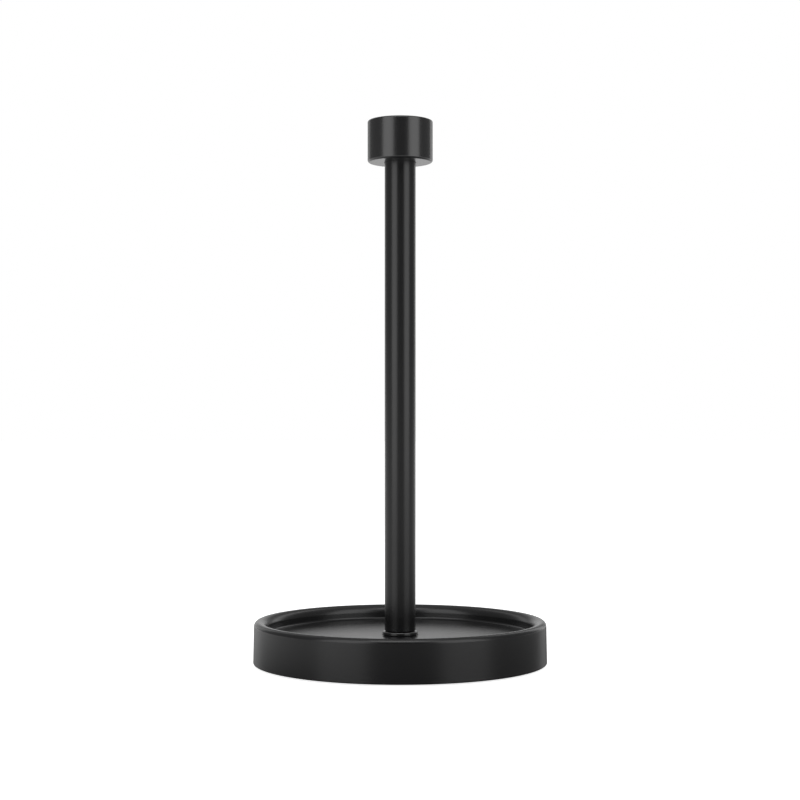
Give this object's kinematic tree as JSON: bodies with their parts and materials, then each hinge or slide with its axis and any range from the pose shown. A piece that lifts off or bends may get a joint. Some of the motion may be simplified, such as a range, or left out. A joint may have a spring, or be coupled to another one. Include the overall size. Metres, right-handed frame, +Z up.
{
  "type": "paper towel holder",
  "caption": "Countertop paper towel holder: weighted round tray base with a raised rim, a straight upright post and a cylindrical screw-on knob, satin black.",
  "frame": {"origin": "On the post's axis, on the surface that the rubber feet stand on", "axes": "+Z up along the post; the object is turned about Z, and +X runs through the first cover screw"},
  "size_m": [0.18, 0.18, 0.333],
  "materials": {
    "powder_coat": "satin black powder coat on steel",
    "knob_coat": "satin black coat on turned aluminium",
    "collar_ring": "smooth black moulded ring",
    "cover_plastic": "fine-textured black moulded plastic",
    "rubber": "dull black rubber",
    "ballast": "rough cast, oiled",
    "fasteners": "zinc plated",
    "nylon": "natural nylon"
  },
  "bodies": {
    "stand": {"base_shell": "powder_coat", "ballast_plate": "ballast", "bottom_cover": "cover_plastic", "cover_screw_1": "fasteners", "cover_screw_2": "fasteners", "cover_screw_3": "fasteners", "cover_screw_4": "fasteners", "rubber_foot_1": "rubber", "rubber_foot_2": "rubber", "rubber_foot_3": "rubber", "rubber_foot_4": "rubber", "center_bolt": "fasteners", "flat_washer": "fasteners", "spring_washer": "fasteners", "post_collar": "collar_ring", "post_tube": "powder_coat", "lower_plug": "fasteners", "upper_plug": "fasteners"},
    "washer": {"knob_washer": "nylon"},
    "knob": {"knob_stud": "fasteners", "knob_body": "knob_coat"}
  },
  "joints": [
    {"name": "knob_lift", "type": "slide", "parent": "stand", "child": "washer", "axis": [0, 0, 1], "range_m": [0, 0.0138]},
    {"name": "knob_turn", "type": "hinge", "parent": "washer", "child": "knob", "pos_m": [0, 0, 0.3075], "axis": [0, 0, 1], "range_deg": [0, 3960]}
  ],
  "couplings": [
    {"joint": "knob_lift", "follows": "knob_turn", "m_per_rad": 0.00019894}
  ]
}
